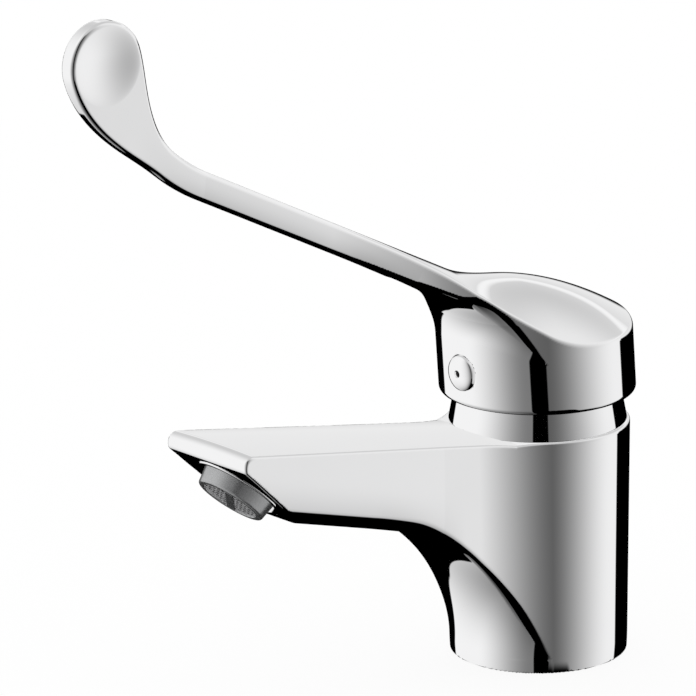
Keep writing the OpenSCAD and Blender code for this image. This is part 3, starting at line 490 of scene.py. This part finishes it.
# One look for each material slot of the record
LOOKS = {
    "chrome": material("chrome_plate", (0.94, 0.94, 0.945), 0.025, 1.0, scale=60, spread=0.01),
    "rubber": material("seal_rubber", (0.03, 0.03, 0.032), 0.6, bump=0.2, scale=1800, spread=0.2),
    "cartridge_plastic": material("white_acetal", (0.78, 0.79, 0.78), 0.42, bump=0.05),
    "ceramic": material("disc_ceramic", (0.86, 0.84, 0.79), 0.2),
    "rotor_plastic": material("grey_acetal", (0.35, 0.36, 0.37), 0.45, bump=0.05),
    "steel": material("steel", (0.8, 0.8, 0.81), 0.4, 0.2, spread=0.05),
    "brass": material("brass", (0.72, 0.55, 0.26), 0.25, 1.0, spread=0.06),
    # The cover dot's own dark plastic; the same look is also the painted shade on the disc behind the aerator's
    # screen
    "dark_plastic": material("dark_plastic", (0.012, 0.012, 0.013), 0.65, bump=0.1, shine=0.1),
    "grey_plastic": material("grey_plastic", (0.5, 0.505, 0.51), 0.24, 0.7, spread=0.04),
}
for part in frame["record"]["subparts"]:
    obj = frame["nodes"][part["node"]]
    obj.data.materials.clear()
    obj.data.materials.append(LOOKS[part["material_slot"]])


def dress(obj, body, slot, *nodes):
    """Gives a piece its look, its body and the solids that it stands for."""
    obj.data.materials.append(LOOKS[slot])
    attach(obj, body)
    if nodes:
        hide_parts(*nodes)


# Castings
STEP = 0.5
FINE = 0.4
dress(skin("body_skin", body_field, (-27, -27, -1), (27, 115, 83), STEP), "fixed", "chrome", "body")
dress(skin("handle_skin", handle_field, (-28, -28, 70), (28, 155, 195), FINE), "lever", "chrome", "handle")

# Neck ring with eased edges
neck = lathe(
    "neck_ring_turned",
    rounded(
        [(neck_in_r, 0), (neck_foot_r, 0), (neck_top_r, neck_h), (neck_in_r, neck_h)],
        [0.15, 0.25, 0.3, 0.15]),
    Matrix.Translation((0, 0, body_h * MM)))
dress(neck, "fixed", "chrome", "neck_ring")

# Screw cover: domed disc with a rim, on a shank, and the dark dot in its middle
core_r, plug_gap, dot_gap = 0.01, 0.12, 0.02
screw_frame = (
    Matrix.Translation((0, -plug_seat_p * MM, (cap_z + plug_h) * MM))
    @ Matrix.Rotation(math.pi / 2, 4, "X"))
dome = [
    (plug_r * math.sin(a), plug_rim_h + plug_dome * math.cos(a) / 1.4)
    for a in np.linspace(math.radians(78), 0, 16)]
shank = [
    (core_r, -plug_shank_l), (plug_shank_r - 0.5, -plug_shank_l), (plug_shank_r, 0.5 - plug_shank_l),
    (plug_shank_r, 0), (plug_r - plug_gap, 0), (plug_r - plug_gap, plug_rim_h - 0.1)]
crown = [(r - plug_gap if r > dot_r + 0.2 else r, h) for r, h in dome if r > dot_r + 0.05]
dot_seat = [(dot_r + dot_gap, dome[-1][1] - 0.06), (dot_r + dot_gap, plug_sink), (core_r, plug_sink)]
cover = lathe("screw_cover_turned", shank + crown + dot_seat, screw_frame)
dress(cover, "lever", "chrome", "screw_cover")
dot_top = plug_sink + plug_dome * 0.7
dot = lathe(
    "cover_dot_turned",
    [(core_r, plug_sink), (dot_r - dot_gap, plug_sink), (dot_r - dot_gap, dot_top - 0.25),
     (0.7 * dot_r, dot_top - 0.08), (core_r, dot_top - dot_gap)],
    screw_frame, turns=48)
dress(dot, "lever", "dark_plastic", "cover_dot")

# Aerator, in the outlet's own frame, where +Z leads into the spout
outlet_frame = (
    Matrix.Translation((0, -outlet_p * MM, outlet_z * MM))
    @ Matrix.Rotation(math.radians(-outlet_tilt), 4, "X"))
aerator_top = socket_depth - 1
ring_in_r, ring_out_r, ring_low = insert_r + 0.05, aerator_r - 0.05, -0.3
ring_piece = lathe(
    "aerator_ring",
    rounded(
        [(ring_in_r, ring_low), (ring_out_r, ring_low), (ring_out_r, aerator_top), (ring_in_r, aerator_top)],
        [0.3, 0.3, 0.2, 0.2]),
    outlet_frame)
dress(ring_piece, "fixed", "chrome", "aerator_housing")

lip_r, grille_z = insert_bore_r - insert_lip, -insert_out + grille_t
insert = lathe(
    "aerator_shell",
    rounded(
        [(lip_r, -insert_out), (insert_foot_r, -insert_out), (insert_r - 0.5, aerator_top - 2.4),
         (insert_r, aerator_top - 2), (insert_r, aerator_top), (insert_bore_r, aerator_top),
         (insert_bore_r, grille_z), (lip_r, grille_z)],
        [0.2, 0.6, 0.1, 0.1, 0.2, 0.2, 0, 0]),
    outlet_frame)
dress(insert, "fixed", "grey_plastic", "aerator_insert")

grille_reach = insert_bore_r - grille_gap
grille = bars(
    "aerator_bar",
    [((-grille_bar / 2, -grille_reach, -insert_out), (grille_bar / 2, grille_reach, grille_z))],
    outlet_frame @ Matrix.Rotation(math.radians(grille_turn), 4, "Z"), 0.15)
dress(grille, "fixed", "grey_plastic")

# Screen of crossed flat wires at the foot of the shell, with a near-black disc behind it: painted shade that stands
# in for the shaded inside of the aerator
screen_r = insert_bore_r - 0.1
screen_z = -insert_out + wire_sink
cross_z = screen_z + wire_t
wires = []
count = int((insert_bore_r - 0.3) / wire_pitch)
for i in range(-count, count + 1):
    mid = i * wire_pitch
    low, high = mid - wire_w / 2, mid + wire_w / 2
    reach = math.sqrt(screen_r ** 2 - mid ** 2)
    wires.append(((low, -reach, screen_z), (high, reach, cross_z)))
    wires.append(((-reach, low, cross_z), (reach, high, screen_z + 2 * wire_t)))
screen = bars("aerator_wires", wires, outlet_frame, 0.02)
dress(screen, "fixed", "steel", "aerator_screen")
back_t = 0.4
back_z = screen_z + 2 * wire_t + 0.4
# Painted shade: a near-black disc put behind the wires, where the aerator's inside lies only in shade
painted_shade_disc = lathe(
    "aerator_painted_shade_disc",
    rounded(
        [(core_r, back_z), (screen_r, back_z), (screen_r, back_z + back_t), (core_r, back_z + back_t)],
        [0, 0.1, 0.1, 0]),
    outlet_frame)
dress(painted_shade_disc, "fixed", "dark_plastic")

# Camera at the photograph's viewing angle
AZ, EL, DIST, ROLL = 49.63, 16.43, 1500.0, -0.72
AIM_Z, SHIFT_RIGHT, SHIFT_UP = 70, -49.42, 11.98
SENSOR, LENS_RATIO = 36, 8.2416
back = np.array([sin(AZ) * cos(EL), -cos(AZ) * cos(EL), sin(EL)])
right = np.array([cos(AZ), sin(AZ), 0])
up = np.cross(back, right)
place = np.array([0, 0, AIM_Z]) + DIST * back + SHIFT_RIGHT * right + SHIFT_UP * up
right_r = cos(ROLL) * right + sin(ROLL) * up
up_r = cos(ROLL) * up - sin(ROLL) * right
cam = bpy.data.objects.new("camera", bpy.data.cameras.new("camera"))
SCENE.collection.objects.link(cam)
SCENE.camera = cam
cam.matrix_world = Matrix([
    [right_r[i], up_r[i], back[i], place[i] * MM] for i in range(3)] + [[0, 0, 0, 1]])
cam.data.sensor_width = SENSOR
cam.data.lens = SENSOR * LENS_RATIO
cam.data.clip_start = 0.05

# Studio: a pale room with soft walls of light and dark flags, which the chrome shows.
# The helpers below add to the node tree that nt names, first the world's and then the floor's.
FILL, CEILING = 0.9, 0.62
world = bpy.data.worlds.new("studio")
SCENE.world = world
world.use_nodes = True
nt = world.node_tree
nt.nodes.clear()


def node(kind, **values):
    n = nt.nodes.new(kind)
    for k, v in values.items():
        setattr(n, k, v)
    return n


def calc(op, *args):
    n = node("ShaderNodeMath", operation=op)
    for i, a in enumerate(args):
        if isinstance(a, (int, float)):
            n.inputs[i].default_value = a
        else:
            nt.links.new(a, n.inputs[i])
    return n.outputs[0]


def ramp(value, lo, hi, out_lo, out_hi):
    n = node("ShaderNodeMapRange", interpolation_type="SMOOTHSTEP")
    nt.links.new(value, n.inputs["Value"])
    for key, v in (("From Min", lo), ("From Max", hi), ("To Min", out_lo), ("To Max", out_hi)):
        n.inputs[key].default_value = v
    return n.outputs["Result"]


def times(*args):
    v = args[0]
    for a in args[1:]:
        v = calc("MULTIPLY", v, a)
    return v


def blend(a, b, t):
    """a where t is 0, b where t is 1."""
    return calc("ADD", times(a, calc("SUBTRACT", 1, t)), times(b, t))


coord = node("ShaderNodeTexCoord")


def dot_with(vector):
    n = node("ShaderNodeVectorMath", operation="DOT_PRODUCT")
    nt.links.new(coord.outputs["Generated"], n.inputs[0])
    n.inputs[1].default_value = vector
    return n.outputs["Value"]


ahead = dot_with((sin(AZ), -cos(AZ), 0))
aside = dot_with((cos(AZ), sin(AZ), 0))
turn = calc("MULTIPLY", calc("ARCTAN2", aside, ahead), 180 / math.pi)
rise = calc("MULTIPLY", calc("ARCSINE", dot_with((0, 0, 1))), 180 / math.pi)

# Light of the walls, in front and behind
wall = blend(ramp(turn, -90, -10, 0.95, 0.2), ramp(turn, 10, 105, 0.11, 0.91), calc("GREATER_THAN", turn, 0))
steep = calc("ADD", turn, ramp(rise, -50, -42, 14, 0))
rear = calc("MAXIMUM", ramp(turn, 115, 117, 0, 1), ramp(steep, -142, -140, 1, 0))
behind = calc("MAXIMUM", ramp(turn, 80, 150, 0, 1), ramp(turn, -170, -100, 1, 0))
rear_strip = times(ramp(rise, 8, 19, 0, 0.95), ramp(rise, 20, 34, 1, 0))
rear_light = calc("MAXIMUM", ramp(rise, 0, 40, 0.85, CEILING), rear_strip)

# Dark flags: beside the camera, behind the tap and over the floor at the right
flag = times(ramp(turn, -9, -7.5, 0, 1), ramp(turn, 11, 12.5, 1, 0), ramp(rise, 60, 70, 1, 0))
rear_flag = times(rear, ramp(rise, -5, 2, 1, 0))
floor_line = calc("ADD", rise, ramp(turn, 35, 66, 0, 27))
floor_flag = times(ramp(floor_line, -26, -22, 1, 0), ramp(turn, 3, 7, 0, 1))
dark = calc("MAXIMUM", calc("MAXIMUM", flag, rear_flag), floor_flag)

light = blend(wall, rear_light, times(behind, ramp(rise, -4, 4, 0, 1)))
light = times(light, ramp(rise, -80, -20, 0.17, 1))
light = blend(light, CEILING, ramp(rise, 50, 75, 0, 1))
light = times(light, calc("SUBTRACT", 1, dark))
path = node("ShaderNodeLightPath")
shown = calc("MAXIMUM", path.outputs["Is Glossy Ray"], path.outputs["Is Transmission Ray"])
level = calc("MAXIMUM", blend(FILL, light, shown), path.outputs["Is Camera Ray"])
sky = node("ShaderNodeBackground")
sky.inputs["Color"].default_value = (1, 1, 1, 1)
nt.links.new(level, sky.inputs["Strength"])
nt.links.new(sky.outputs[0], node("ShaderNodeOutputWorld").inputs["Surface"])

# Floor: white to the camera, with the soft shadow of the tap
shade, floor_r, floor_z, floor_sides = 0.14, 600, -0.02, 64
paper = bpy.data.materials.new("white_floor")
paper.use_nodes = True
nt = paper.node_tree
nt.nodes.clear()
path = node("ShaderNodeLightPath")
seen = calc("MAXIMUM", path.outputs["Is Camera Ray"],
            calc("MAXIMUM", path.outputs["Is Glossy Ray"], path.outputs["Is Transmission Ray"]))
glow = node("ShaderNodeEmission")
nt.links.new(times(seen, 1 - FILL * shade), glow.inputs["Strength"])
matte = node("ShaderNodeBsdfDiffuse")
matte.inputs["Color"].default_value = (shade, shade, shade, 1)
both = node("ShaderNodeAddShader")
nt.links.new(glow.outputs[0], both.inputs[0])
nt.links.new(matte.outputs[0], both.inputs[1])
nt.links.new(both.outputs[0], node("ShaderNodeOutputMaterial").inputs["Surface"])
around = [
    (floor_r * math.cos(a), floor_r * math.sin(a), floor_z)
    for a in np.linspace(0, 2 * math.pi, floor_sides, endpoint=False)]
floor = solid("floor", around, [tuple(range(floor_sides))])
floor.data.materials.append(paper)

# As in the photograph, the chrome shows the studio alone, not the pieces beside it
for obj in SCENE.objects:
    if obj.type == "MESH":
        obj.visible_glossy = False
